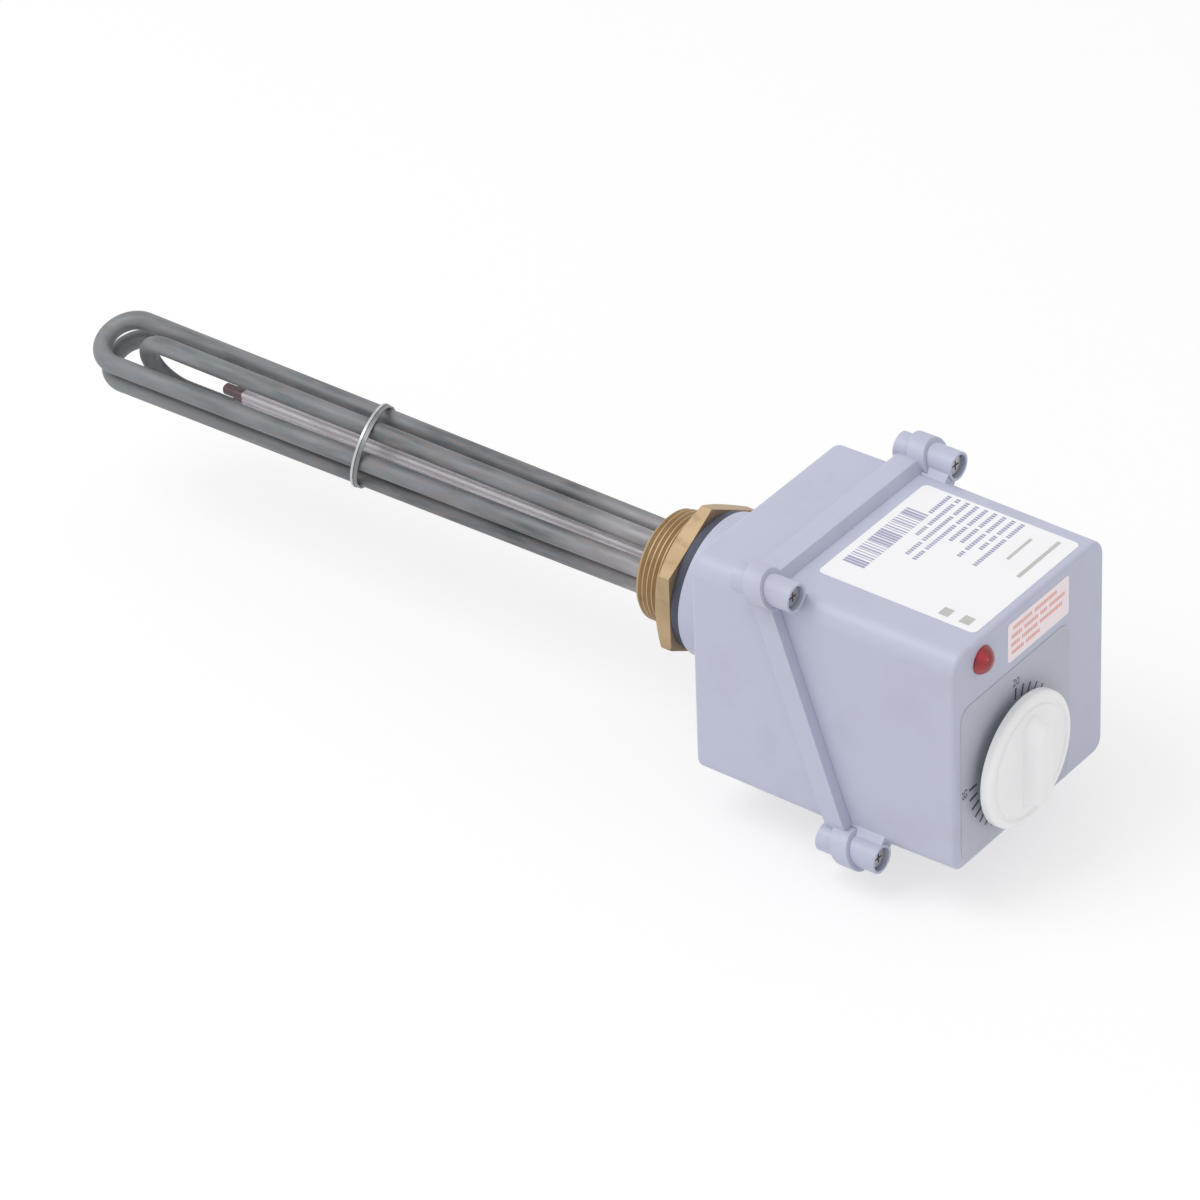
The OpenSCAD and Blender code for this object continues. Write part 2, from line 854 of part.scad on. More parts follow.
module regulator_bulb()
{
    route = [[limiter_front_x - 4, 2, -4], [reg_back_x - 30, 8, -8], [reg_back_x - 8, dial_y + 6, dial_z],
        [reg_back_x, dial_y + 6, dial_z]];
    color([0.72, 0.5, 0.36])
    sensing_bulb(-1, route);
}

module regulator_body()
{
    color([0.86, 0.85, 0.82])
    difference() {
        union() {
            translate([reg_back_x + 8, dial_y - reg_w / 2, dial_z - reg_h / 2])
                cube([reg_depth - 8, reg_w, reg_h]);
            x_rod(reg_back_x, reg_back_x + 9, reg_h / 2 - 4, [dial_y, dial_z]);
            for (y = [-1, 1], z = [-1, 1])
                translate([reg_back_x, dial_y + y * 16 - 3.2, dial_z + z * 12])
                    cube([9, 6.4, 0.8]);
        }
        x_rod(ceiling_x - 8, ceiling_x + 1, spindle_d / 2 + fit_gap, [dial_y, dial_z]);
        for (z = [-1, 1])
            x_rod(ceiling_x - 8, ceiling_x + 1, pan_r + fit_gap, [dial_y, dial_z + z * reg_screw_at]);
    }
}

module regulator_screws()
{
    color([0.72, 0.7, 0.64])
    for (z = [-1, 1])
        pan_screw(ceiling_x - 7, front_x + dial_t, [dial_y, dial_z + z * reg_screw_at]);
}

module regulator_spindle()
{
    color([0.7, 0.68, 0.62])
    difference() {
        x_rod(ceiling_x - 7.5, knob_front_x, spindle_d / 2, [dial_y, dial_z]);
        translate([knob_x + 0.5, dial_y - spindle_d, dial_z + spindle_d / 2 - spindle_flat])
            cube([knob_rim_t, 2 * spindle_d, spindle_d]);
    }
}

// Quarter of a round edge about [r, x], as points of a turned profile
function round_edge(r, x, e) = [for (a = [0 : 15 : 90]) [r + e * cos(a), x + e * sin(a)]];

module adjusting_knob()
{
    r = knob_d / 2;
    edge = 2.2;
    shell = 2.5;
    groove_r = r * 0.85;
    grip_w = 11;
    grip_l = 2 * groove_r - 7;
    hub_r = spindle_d / 2 + 4.5;
    hub_x = front_x + dial_t + 0.5;
    color([0.95, 0.95, 0.95])
    translate([0, dial_y, dial_z])
        difference() {
            union() {
                rotate([0, 90, 0])
                    rotate_extrude()
                        polygon(concat([[0, knob_front_x - shell], [r - shell, knob_front_x - shell],
                            [r - shell, knob_x], [r, knob_x]],
                            round_edge(r - edge, knob_front_x - edge, edge),
                            [[groove_r + 1.2, knob_front_x], [groove_r + 0.6, knob_front_x - 1],
                            [groove_r - 0.6, knob_front_x - 1], [groove_r - 1.2, knob_front_x],
                            [0, knob_front_x]]));
                x_rod(hub_x, knob_front_x - shell / 2, hub_r);
                knob_grip(grip_w, grip_l);
            }
            difference() {
                x_rod(hub_x - 1, knob_front_x + fit_gap, spindle_d / 2 + fit_gap);
                translate([knob_x + 0.5 + fit_gap, -spindle_d, spindle_d / 2 - spindle_flat + fit_gap])
                    cube([2 * knob_rim_t, 2 * spindle_d, spindle_d]);
            }
        }
}

// Raised grip across the knob's face: round ends, sides drawn in towards a rounded top
module knob_grip(w, l)
{
    top_x = knob_front_x + grip_h;
    hull() {
        for (z = [-1, 1]) {
            x_rod(knob_front_x - 1, knob_front_x, w / 2, [0, z * (l - w) / 2], $fn = 32);
            x_rod(top_x - 1, top_x - 0.7, w / 2 - 1.6, [0, z * ((l - w) / 2 - 1)], $fn = 32);
            x_rod(top_x - 0.1, top_x, w / 2 - 2.6, [0, z * ((l - w) / 2 - 1)], $fn = 32);
        }
    }
}

module dial_plate()
{
    color([0.68, 0.7, 0.71])
    translate([0, dial_y, dial_z])
        difference() {
            x_prism(front_x, front_x + dial_t)
                translate([plate_side, plate_up])
                    round_rect(dial_w, dial_h, 6);
            x_rod(front_x - 1, front_x + 1, spindle_d / 2 + 2);
            for (z = [-1, 1])
                x_rod(front_x - 1, front_x + 1, pan_r + pass_gap, [0, z * reg_screw_at]);
        }
}

module lamp_lens()
{
    r = lamp_d / 2;
    step = 0.6;
    dome_r = (r * r + lamp_dome * lamp_dome) / (2 * lamp_dome);
    half = asin(r / dome_r);
    color([0.72, 0.12, 0.14])
    translate([front_x, lamp_y, lamp_z])
        rotate([0, 90, 0])
            rotate_extrude()
                polygon(concat([[0, ceiling_x - front_x], [r - 1 - fit_gap, ceiling_x - front_x],
                    [r - 1 - fit_gap, 0], [r, 0]],
                    [for (a = [0 : half / 8 : half]) [dome_r * sin(half - a),
                        step + lamp_dome - dome_r + dome_r * cos(half - a)]]));
}

module lamp_body()
{
    color([0.85, 0.85, 0.83])
    union() {
        x_rod(ceiling_x - 16, ceiling_x, lamp_d / 2 - 1.5, [lamp_y, lamp_z]);
        for (y = [-1, 1])
            translate([ceiling_x - 23, lamp_y + y * 2.4 - 0.4, lamp_z - 1.5])
                cube([8, 0.8, 3]);
    }
}

module lamp_clip()
{
    color([0.7, 0.7, 0.7])
    difference() {
        x_rod(ceiling_x - 0.8, ceiling_x, lamp_d / 2 + 0.3, [lamp_y, lamp_z]);
        x_rod(ceiling_x - 2, ceiling_x + 1, lamp_d / 2 - 1.5 + fit_gap, [lamp_y, lamp_z]);
    }
}

// Cable gland, its axis down through the housing's underside
gland_hex_t = 6;
gland_nut_h = 15;
gland_nut_d = gland_d + 5;
gland_throat = 8;
gland_locknut_t = 4.5;
gland_wall_z = -inner_h / 2;

module gland_body()
{
    thread_low = gland_seat_z - gland_hex_t - gland_throat;
    thread_high = gland_wall_z + gland_locknut_t + 1;
    color([0.7, 0.71, 0.76])
    difference() {
        union() {
            translate([gland_x, 0, gland_seat_z - gland_hex_t])
                cylinder(h = gland_hex_t, r = gland_d / 2 + 3.9, $fn = 6);
            translate([gland_x, 0, thread_low])
                cylinder(h = thread_high - thread_low, r = gland_d / 2);
        }
        translate([gland_x, 0, thread_low - 1])
            cylinder(h = thread_high - thread_low + 2, r = cable_d / 2 + 1);
        translate([gland_x, 0, thread_low - 1])
            cylinder(h = gland_throat + 1, r = cable_d / 2 + 3);
    }
}

module gland_nut()
{
    r = gland_nut_d / 2;
    top_z = gland_seat_z - gland_hex_t - pass_gap;
    color([0.7, 0.71, 0.76])
    difference() {
        translate([gland_x, 0, top_z])
            rotate_extrude()
                polygon([[0, -gland_nut_h], [r - 4, -gland_nut_h], [r - 1, -gland_nut_h + 4],
                    [r, -gland_nut_h + 6], [r, -0.6], [r - 0.6, 0], [0, 0]]);
        translate([gland_x, 0, top_z - gland_nut_h + 5])
            cylinder(h = gland_nut_h, r = gland_d / 2 + fit_gap);
        translate([gland_x, 0, top_z - gland_nut_h - 1])
            cylinder(h = gland_nut_h, r = cable_d / 2 + 1);
        for (turn = [0 : 30 : 330])
            translate([gland_x, 0, 0])
                rotate(turn)
                    translate([r + 0.6, 0, top_z - gland_nut_h + 5])
                        cylinder(h = gland_nut_h - 7, r = 1.2);
    }
}

module gland_seal()
{
    z0 = gland_seat_z - gland_hex_t - pass_gap - gland_nut_h + 5;
    color([0.12, 0.12, 0.13])
    difference() {
        translate([gland_x, 0, z0])
            cylinder(h = gland_nut_h - 5 + pass_gap, r = cable_d / 2 + 3 - fit_gap);
        translate([gland_x, 0, z0 - 1])
            cylinder(h = gland_nut_h + 2, r = cable_d / 2);
    }
}

module gland_locknut()
{
    color([0.7, 0.71, 0.76])
    difference() {
        translate([gland_x, 0, gland_wall_z])
            cylinder(h = gland_locknut_t, r = gland_d / 2 + 4.4, $fn = 6);
        translate([gland_x, 0, gland_wall_z - 1])
            cylinder(h = gland_locknut_t + 2, r = gland_d / 2 + fit_gap);
    }
}

screw_plug();
heating_element_upper();
heating_element_lower();
heating_element_cross();
sensor_pocket();
spacer_band();
plug_gasket();
plug_locknut();
earth_screw();
terminal_pins();
terminal_beads();
terminal_nuts();
star_bridge();
rear_housing();
front_cover();
cover_seal();
cover_screws();
terminal_block();
terminal_clamp_screws();
terminal_block_screws();
limiter_bracket();
limiter_bracket_screws();
limiter_body();
limiter_bulb();
regulator_body();
regulator_screws();
regulator_bulb();
regulator_spindle();
adjusting_knob();
dial_plate();
lamp_lens();
lamp_body();
lamp_clip();
gland_body();
gland_nut();
gland_seal();
gland_locknut();
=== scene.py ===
"""Looks of the screw plug immersion heater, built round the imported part."""
import json
import math

import bmesh
import bpy
from mathutils import Matrix, Vector


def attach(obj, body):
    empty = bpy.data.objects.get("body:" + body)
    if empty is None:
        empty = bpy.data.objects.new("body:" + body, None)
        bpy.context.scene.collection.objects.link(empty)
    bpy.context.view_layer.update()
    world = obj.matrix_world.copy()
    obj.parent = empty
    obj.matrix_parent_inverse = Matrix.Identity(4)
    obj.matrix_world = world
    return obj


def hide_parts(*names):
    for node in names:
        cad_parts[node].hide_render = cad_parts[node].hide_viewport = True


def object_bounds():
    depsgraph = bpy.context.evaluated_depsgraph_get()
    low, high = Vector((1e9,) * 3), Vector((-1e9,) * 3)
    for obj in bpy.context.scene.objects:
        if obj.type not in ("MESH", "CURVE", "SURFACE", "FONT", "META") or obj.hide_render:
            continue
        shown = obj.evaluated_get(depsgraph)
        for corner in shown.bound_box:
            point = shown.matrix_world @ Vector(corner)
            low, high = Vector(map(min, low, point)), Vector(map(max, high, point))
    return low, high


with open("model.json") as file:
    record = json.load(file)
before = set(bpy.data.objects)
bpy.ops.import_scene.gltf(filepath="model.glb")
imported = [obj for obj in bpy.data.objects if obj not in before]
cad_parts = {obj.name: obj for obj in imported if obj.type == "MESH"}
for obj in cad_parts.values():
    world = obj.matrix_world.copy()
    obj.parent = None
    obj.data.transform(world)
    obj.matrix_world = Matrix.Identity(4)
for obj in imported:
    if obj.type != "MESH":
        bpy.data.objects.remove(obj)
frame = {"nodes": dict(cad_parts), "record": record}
cad_low, cad_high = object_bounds()

MM = 0.001
HEATER = "heater"
KNOB = "knob"

# Sizes of the part in millimetres, as its source names them
THREAD_R = 23.9
THREAD_LEN = 15.0
THREAD_PITCH = 2.309
PLUG_CHAMFER = 1.5
FRONT_X = 160.0
DIAL_T = 0.3
DIAL_Y = -12.6
DIAL_Z = -15.5
COVER_WIDE_X = 55.0
COVER_HALF_H = 52.1
COVER_DRAFT = 0.9
COVER_EDGE_R = 1.8
BAND_OUTER_R = 18.3

# Thread: depth in pitches, and the form of one pitch as places and shares of that depth
THREAD_DEPTH = 0.64
THREAD_FORM = ((0.0, 1.0), (0.07, 1.0), (0.41, 0.0), (0.59, 0.0), (0.93, 1.0), (1.0, 1.0))
THREAD_STEPS = 72
THREAD_INTO_HEXAGON = 0.3

# Widths of broken edges and other small sizes of the meshes in millimetres
SHELL_EDGE = 0.25
KNOB_EDGE = 0.3
GASKET_EDGE = 0.3
POCKET_EDGE = 0.2
PLUG_EDGE = 0.2
SHELL_SLICE = 3.0
LIP_RISE = 0.1
MERGE_WITHIN = 0.002
THREAD_MERGE_WITHIN = 0.004

# Angles in degrees: faces made whole below it, edges broken above it, shading smooth up to it
FLAT_ANGLE = 0.4
SHARP_ANGLE = 32.0
SMOOTH_ANGLE = 35.0
PLUG_SMOOTH_ANGLE = 30.0

# Distance in metres within which a vertex lies on a plane
ON_PLANE = 1e-7

# Label on the cover's top and sticker on its front
LABEL_X = (82.3, 156.2)
LABEL_Y = (-32.5, 41.1)
LABEL_CORNER = 2.5
STICKER_Y = (-15.5, 26.9)
STICKER_Z = (28.5, 46.6)
STICKER_CORNER = 1.5
SHEET_T = 0.12
SHEET_GAP = 0.02
INK_LIFT = 0.03
INK_T = 0.04

# Rows of print as words of so many blocks, and a block's width, pitch, space after a word and height
LABEL_ROWS = ((10,), (2, 12, 5), (7, 14, 7), (10, 14, 5), (9, 8), (8, 8), (9, 9, 3), (8, 3, 4), (8, 15))
LABEL_ROW_START = (1.6, 13.2)
LABEL_ROW_PITCH = 4.35
LABEL_BLOCK = (1.05, 1.45, 1.2, 1.9)
STICKER_ROWS = ((3.8, (11, 13)), (2.7, (6, 8, 4, 9)), (2.4, (5, 9, 13)), (2.8, (7, 8)))
STICKER_FIRST_ROW = 3.2
STICKER_ROW_PITCH = 3.7
STICKER_BLOCK = (0.85, 1.2, 1.5, 1.7)

# Stripes on the label, whose widths come twice, and its plain fields
STRIPES = (0.9, 1.25, 1.25, 0.5, 0.5, 0.7, 1.0, 0.5, 0.5, 0.8, 0.5, 1.2, 1.25, 1.2)
STRIPE_START = 17.4
STRIPE_PITCH = 1.6
STRIPE_ENDS = (3.6, 13.9)
LABEL_FIELDS = ((3.6, 32.6, 65.4, 67.2), (8.0, 25.0, 55.4, 56.8),
                (65.2, 70.4, 54.6, 59.2), (65.2, 70.4, 64.2, 69.0))

# Scale on the dial plate: ticks from an inner to an outer radius, with a width
SCALE_START = math.radians(85.4)
SCALE_STEP = math.radians(10.2)
SCALE_STEPS = 26
SCALE_TICK = (24.6, 29.9, 1.1)
SCALE_NUMBERS = ((0, "20"), (SCALE_STEPS, "85"))
NUMBER_R = 32.6
NUMBER_SIZE = 4.8

# Turn that lets a drawing face along +X, its own X along Y and its own Y upwards
FACING_FRONT = Matrix(((0, 0, 1), (1, 0, 0), (0, 1, 0))).to_4x4()

# Places along the screw axis in metres where a tube's finish changes
LOOP_TONE_X = (-0.12, -0.42)
PLUG_TONE_X = (-0.065, -0.018)
BRAZE_X = (-0.2525, -0.235)
BRAZE_RAGGED = 0.0012

# Edge wear: gain of its mask, and how much lighter worn plastic and metal are
WEAR_GAIN = 6
PLASTIC_EDGE_TONE = 1.18
METAL_EDGE_TONE = 1.3

# Floor and sky, with screen colours
FLOOR_REACH = 20.0
FLOOR_GAP = 0.0002
FLOOR_PAINT = ((250, 250, 250), (247, 247, 248))
FLOOR_SEEN = (172, 172, 172)
FLOOR_GLOW = (206, 206, 206)
SKY_LIGHT = (211, 211, 211)
WHITE = (255, 255, 255)
BLACK = (0, 0, 0)

# Lamps by name, place and size in metres, and power in watts
LAMPS = (("key", (-0.7, -1.1, 2.2), 1.6, 25.0), ("fill", (2.2, 0.2, 0.35), 0.25, 1.0))

# Camera in metres and degrees, as solved from the photograph
CAMERA_PLACE = (1.35202, -1.78133, 1.53725)
CAMERA_TURN = (38.23, 34.69, -2.33)
CAMERA_LENS = 202.29
CAMERA_SENSOR = 36.0
CAMERA_FAR = 50.0


def linear(colour):
    """Scene-linear colour of a screen colour whose parts run from 0 to 255."""
    parts = [c / 255 for c in colour]
    return [c / 12.92 if c <= 0.04045 else ((c + 0.055) / 1.055) ** 2.4 for c in parts] + [1.0]


# Shader nodes and groups

def add_node(tree, kind, **inputs):
    """Node of a kind, with its inputs set to values or linked from sockets."""
    node = tree.nodes.new(kind)
    for name, value in inputs.items():
        socket = node.inputs[int(name[1:])] if name[0] == "_" else node.inputs[name.replace("_", " ")]
        if isinstance(value, bpy.types.NodeSocket):
            tree.links.new(value, socket)
        else:
            socket.default_value = value
    return node


def calculate(tree, operation, *values, clamp=False):
    """Result of a sum on values or sockets."""
    node = add_node(tree, "ShaderNodeMath", **{f"_{count}": value for count, value in enumerate(values)})
    node.operation = operation
    node.use_clamp = clamp
    return node.outputs["Value"]


def new_group(name, inputs, outputs):
    """Shader group with named sockets, and its input and output nodes."""
    group = bpy.data.node_groups.new(name, "ShaderNodeTree")
    for label, kind, value in inputs:
        socket = group.interface.new_socket(label, in_out="INPUT", socket_type=kind)
        socket.default_value = value
    for label, kind in outputs:
        group.interface.new_socket(label, in_out="OUTPUT", socket_type=kind)
    return group, group.nodes.new("NodeGroupInput"), group.nodes.new("NodeGroupOutput")


def cloud_group():
    """Soft patches: Mask runs from 0 to 1 over the surface, Stretch draws them out along an axis."""
    group, given, made = new_group(
        "cloudy_patches",
        [("Scale", "NodeSocketFloat", 40.0), ("Detail", "NodeSocketFloat", 3.0),
         ("Stretch", "NodeSocketVector", (1.0, 1.0, 1.0)), ("Low", "NodeSocketFloat", 0.35),
         ("High", "NodeSocketFloat", 0.65)],
        [("Mask", "NodeSocketFloat")])
    place = add_node(group, "ShaderNodeTexCoord")
    drawn = add_node(group, "ShaderNodeMapping", Vector=place.outputs["Object"],
                     Scale=given.outputs["Stretch"])
    noise = add_node(group, "ShaderNodeTexNoise", Vector=drawn.outputs["Vector"],
                     Scale=given.outputs["Scale"], Detail=given.outputs["Detail"])
    spread = add_node(group, "ShaderNodeMapRange", Value=noise.outputs["Fac"],
                      From_Min=given.outputs["Low"], From_Max=given.outputs["High"])
    group.links.new(spread.outputs["Result"], made.inputs["Mask"])
    return group


def grain_group():
    """Fine moulded or rolled grain as a height, with a slow change of its strength."""
    group, given, made = new_group(
        "fine_grain",
        [("Scale", "NodeSocketFloat", 2500.0), ("Stretch", "NodeSocketVector", (1.0, 1.0, 1.0))],
        [("Height", "NodeSocketFloat")])
    place = add_node(group, "ShaderNodeTexCoord")
    drawn = add_node(group, "ShaderNodeMapping", Vector=place.outputs["Object"],
                     Scale=given.outputs["Stretch"])
    fine = add_node(group, "ShaderNodeTexNoise", Vector=drawn.outputs["Vector"],
                    Scale=given.outputs["Scale"], Detail=4.0, Roughness=0.6)
    slow = add_node(group, "ShaderNodeTexNoise", Vector=place.outputs["Object"], Scale=60.0, Detail=2.0)
    height = calculate(group, "MULTIPLY", fine.outputs["Fac"], slow.outputs["Fac"])
    group.links.new(height, made.inputs["Height"])
    return group


def edge_group():
    """Worn edges: Mask is 1 where the surface turns sharply within Reach."""
    group, given, made = new_group(
        "worn_edges",
        [("Reach", "NodeSocketFloat", 0.0008), ("Strength", "NodeSocketFloat", 6.0)],
        [("Mask", "NodeSocketFloat")])
    round_normal = add_node(group, "ShaderNodeBevel", Radius=given.outputs["Reach"])
    round_normal.samples = 4
    true_normal = add_node(group, "ShaderNodeNewGeometry")
    turn = add_node(group, "ShaderNodeVectorMath", _0=round_normal.outputs["Normal"],
                    _1=true_normal.outputs["Normal"])
    turn.operation = "DOT_PRODUCT"
    bent = calculate(group, "SUBTRACT", 1.0, turn.outputs["Value"])
    worn = calculate(group, "MULTIPLY", bent, given.outputs["Strength"], clamp=True)
    group.links.new(worn, made.inputs["Mask"])
    return group


CLOUDS = cloud_group()
GRAIN = grain_group()
EDGES = edge_group()


def use_group(tree, group, **inputs):
    """Output of a group placed in a material, with its inputs set."""
    node = tree.nodes.new("ShaderNodeGroup")
    node.node_tree = group
    for name, value in inputs.items():
        node.inputs[name].default_value = value
    return node.outputs[0]


def mix_colour(tree, mask, first, second):
    """Colour between two colours or sockets by a mask socket."""
    node = tree.nodes.new("ShaderNodeMix")
    node.data_type = "RGBA"
    tree.links.new(mask, node.inputs["Factor"])
    for name, value in (("A", first), ("B", second)):
        socket = next(s for s in node.inputs if s.name == name and s.type == "RGBA")
        if isinstance(value, bpy.types.NodeSocket):
            tree.links.new(value, socket)
        else:
            socket.default_value = value
    return next(s for s in node.outputs if s.type == "RGBA")


def ranged(tree, value, low, high):
    """Value socket spread from low to high."""
    return add_node(tree, "ShaderNodeMapRange", Value=value, To_Min=low, To_Max=high).outputs["Result"]


# Materials

def new_material(name, metallic=0.0, coat=0.0, specular=0.5):
    """Material with a Principled shader, and its tree and shader."""
    material = bpy.data.materials.new(name)
    material.use_nodes = True
    tree = material.node_tree
    shader = tree.nodes["Principled BSDF"]
    shader.inputs["Metallic"].default_value = metallic
    shader.inputs["Coat Weight"].default_value = coat
    shader.inputs["Specular IOR Level"].default_value = specular
    return material, tree, shader


def colour_by(tree, shader, tones, masks, edge_tone, rough):
    """Base tone with patches, stains and lighter edges, and a roughness that follows the stains."""
    base, tint, stain = (linear(tone) for tone in tones)
    patches, stains, edges = masks
    colour = mix_colour(tree, patches, base, tint)
    colour = mix_colour(tree, stains, colour, stain)
    worn = [min(1.0, c * edge_tone) for c in base[:3]] + [1.0]
    tree.links.new(mix_colour(tree, edges, colour, worn), shader.inputs["Base Color"])
    tree.links.new(ranged(tree, stains, *rough), shader.inputs["Roughness"])


def bump(tree, shader, height, strength, distance):
    """Puts a height on the shader's normal."""
    node = add_node(tree, "ShaderNodeBump", Height=height, Strength=strength, Distance=distance)
    tree.links.new(node.outputs["Normal"], shader.inputs["Normal"])


def moulded(name, *tones, rough=(0.4, 0.52), grain=900.0, grain_depth=0.00004, wear=0.25):
    """Moulded plastic in a base, a shade and a soil tone, with fine grain and edges a little paler."""
    material, tree, shader = new_material(name)
    patches = use_group(tree, CLOUDS, Scale=9.0, Detail=1.0, Low=0.3, High=0.7)
    soil = use_group(tree, CLOUDS, Scale=45.0, Detail=5.0, Low=0.5, High=0.85)
    edges = use_group(tree, EDGES, Reach=0.0009, Strength=wear * WEAR_GAIN)
    colour_by(tree, shader, tones, (patches, soil, edges), PLASTIC_EDGE_TONE, rough)
    bump(tree, shader, use_group(tree, GRAIN, Scale=grain), strength=0.25, distance=grain_depth)
    return material


def metal(name, *tones, rough=(0.28, 0.45), stretch=(1.0, 1.0, 1.0), scale=60.0, lines=900.0,
          line_stretch=(1.0, 1.0, 1.0), depth=0.00003, wear=0.4, stain_low=0.5, metallic=1.0, specular=0.5):
    """Metal in a base, a tint and a stain tone drawn out along the piece, with lines and bright edges."""
    material, tree, shader = new_material(name, metallic, specular=specular)
    patches = use_group(tree, CLOUDS, Scale=scale, Detail=4.0, Stretch=stretch)
    stains = use_group(tree, CLOUDS, Scale=scale * 2.3, Detail=7.0, Stretch=stretch,
                       Low=stain_low, High=stain_low + 0.25)
    edges = use_group(tree, EDGES, Reach=0.0006, Strength=wear * WEAR_GAIN)
    colour_by(tree, shader, tones, (patches, stains, edges), METAL_EDGE_TONE, rough)
    fine = use_group(tree, GRAIN, Scale=lines, Stretch=line_stretch)
    bump(tree, shader, fine, strength=0.3, distance=depth)
    return material


def lens_plastic():
    """Red lens: deep red under a clear coat, darker in patches as a moulded jewel is."""
    material, tree, shader = new_material("lens_plastic", coat=0.8, specular=0.25)
    depth = use_group(tree, CLOUDS, Scale=180.0, Detail=1.0)
    colour = mix_colour(tree, depth, linear((178, 24, 33)), linear((134, 11, 21)))
    tree.links.new(colour, shader.inputs["Base Color"])
    tree.links.new(ranged(tree, depth, 0.2, 0.3), shader.inputs["Roughness"])
    shader.inputs["Coat Roughness"].default_value = 0.1
    return material


def along_x(tree):
    """Place along X in metres."""
    place = add_node(tree, "ShaderNodeTexCoord")
    return add_node(tree, "ShaderNodeSeparateXYZ", Vector=place.outputs["Object"]).outputs["X"]


def paint_over(tree, mask, tone):
    """Lays a tone by a mask over the colour that a material has."""
    socket = tree.nodes["Principled BSDF"].inputs["Base Color"]
    tree.links.new(mix_colour(tree, mask, socket.links[0].from_socket, linear(tone)), socket)


def tone_towards(material, reach, tone):
    """Lets a streaky tone grow along X over a material's colour, as heat leaves it on a tube."""
    tree = material.node_tree
    grown = add_node(tree, "ShaderNodeMapRange", Value=along_x(tree), From_Min=reach[0], From_Max=reach[1])
    streaks = use_group(tree, CLOUDS, Scale=260.0, Detail=4.0, Stretch=(0.16, 1.0, 1.0))
    share = ranged(tree, streaks, 0.45, 1.25)
    paint_over(tree, calculate(tree, "MULTIPLY", grown.outputs["Result"], share, clamp=True), tone)


def braze_on(material, reach, tone):
    """Paints braze on a tube's end between two places on X, with a ragged border."""
    tree = material.node_tree
    low, high = reach
    ragged = calculate(tree, "MULTIPLY", use_group(tree, CLOUDS, Scale=400.0, Detail=3.0), BRAZE_RAGGED)
    place = calculate(tree, "ADD", along_x(tree), ragged)
    paint_over(tree, calculate(tree, "COMPARE", place, (low + high) / 2, (high - low) / 2), tone)


housing_plastic = moulded("housing_plastic", (194, 198, 218), (192, 195, 214), (187, 189, 206))
gland_plastic = moulded("gland_plastic", (184, 186, 202), (180, 182, 199), (172, 174, 190))
knob_plastic = moulded("knob_plastic", (254, 254, 254), (252, 252, 253), (248, 248, 249),
                       rough=(0.3, 0.38), grain_depth=0.00001, wear=0.05)
dial_paint = moulded("dial_paint", (190, 194, 205), (187, 191, 202), (180, 184, 194),
                     rough=(0.42, 0.55), grain=1600.0, wear=0.1)
cream_moulding = moulded("cream_moulding", (224, 219, 205), (216, 210, 194), (196, 190, 172))
ceramic = moulded("ceramic", (232, 228, 218), (226, 220, 208), (205, 198, 184), rough=(0.6, 0.75))
gasket_fibre = moulded("gasket_fibre", (84, 87, 102), (75, 77, 91), (62, 63, 73),
                       rough=(0.7, 0.85), grain=1400.0, grain_depth=0.0001)
seal_rubber = moulded("seal_rubber", (34, 34, 37), (42, 42, 46), (58, 58, 62), rough=(0.6, 0.75))
label_paper = moulded("label_paper", (252, 252, 254), (250, 250, 253), (246, 247, 250),
                      rough=(0.35, 0.45), grain_depth=0.00001, wear=0.0)
sticker_paper = moulded("sticker_paper", (254, 243, 246), (252, 238, 242), (248, 232, 236),
                        rough=(0.35, 0.45), grain_depth=0.00001, wear=0.0)
label_ink = moulded("label_ink", (160, 162, 190), (168, 170, 196), (188, 190, 208), wear=0.0)
pale_ink = moulded("pale_ink", (188, 188, 184), (194, 194, 190), (204, 204, 201), wear=0.0)
sticker_ink = moulded("sticker_ink", (232, 150, 138), (235, 162, 152), (238, 184, 176), wear=0.0)
dial_ink = moulded("dial_ink", (52, 54, 58), (60, 62, 66), (84, 86, 90), wear=0.0)
red_lens = lens_plastic()

plug_brass = metal("plug_brass", (187, 163, 127), (175, 150, 115), (150, 125, 94), rough=(0.48, 0.62),
                   stretch=(0.5, 1.0, 1.0), scale=70.0, lines=260.0, line_stretch=(12.0, 1.0, 1.0),
                   depth=0.00004, wear=0.25, stain_low=0.56, metallic=0.45)
element_steel = metal("element_steel", (134, 137, 143), (99, 105, 109), (139, 129, 127), rough=(0.46, 0.62),
                      stretch=(0.16, 1.0, 1.0), scale=190.0, lines=1200.0, line_stretch=(0.04, 1.0, 1.0),
                      depth=0.00002, wear=0.1, stain_low=0.46, metallic=0.2, specular=0.2)
tone_towards(element_steel, LOOP_TONE_X, (142, 147, 150))
tone_towards(element_steel, PLUG_TONE_X, (166, 163, 167))
pocket_steel = metal("pocket_steel", (244, 238, 244), (232, 225, 232), (206, 196, 204), rough=(0.42, 0.54),
                     stretch=(0.2, 1.0, 1.0), scale=80.0, lines=1200.0, line_stretch=(0.04, 1.0, 1.0),
                     depth=0.000002, wear=0.1, metallic=0.35)
braze_on(pocket_steel, BRAZE_X, (136, 117, 117))
band_steel = metal("band_steel", (140, 141, 144), (130, 132, 134), (120, 116, 120),
                   rough=(0.45, 0.58), wear=0.1)
# Brighter copy of the band's steel, laid on the band's lip as a painted highlight
lip_highlight_steel = metal("lip_highlight_steel", (206, 206, 211), (194, 194, 199), (172, 172, 177),
                     rough=(0.3, 0.42), wear=0.1)
zinc = metal("zinc", (196, 194, 184), (182, 180, 168), (150, 148, 138), rough=(0.3, 0.42))
screw_zinc = metal("screw_zinc", (186, 184, 184), (170, 168, 170), (134, 132, 134),
                   rough=(0.34, 0.5), metallic=0.8)
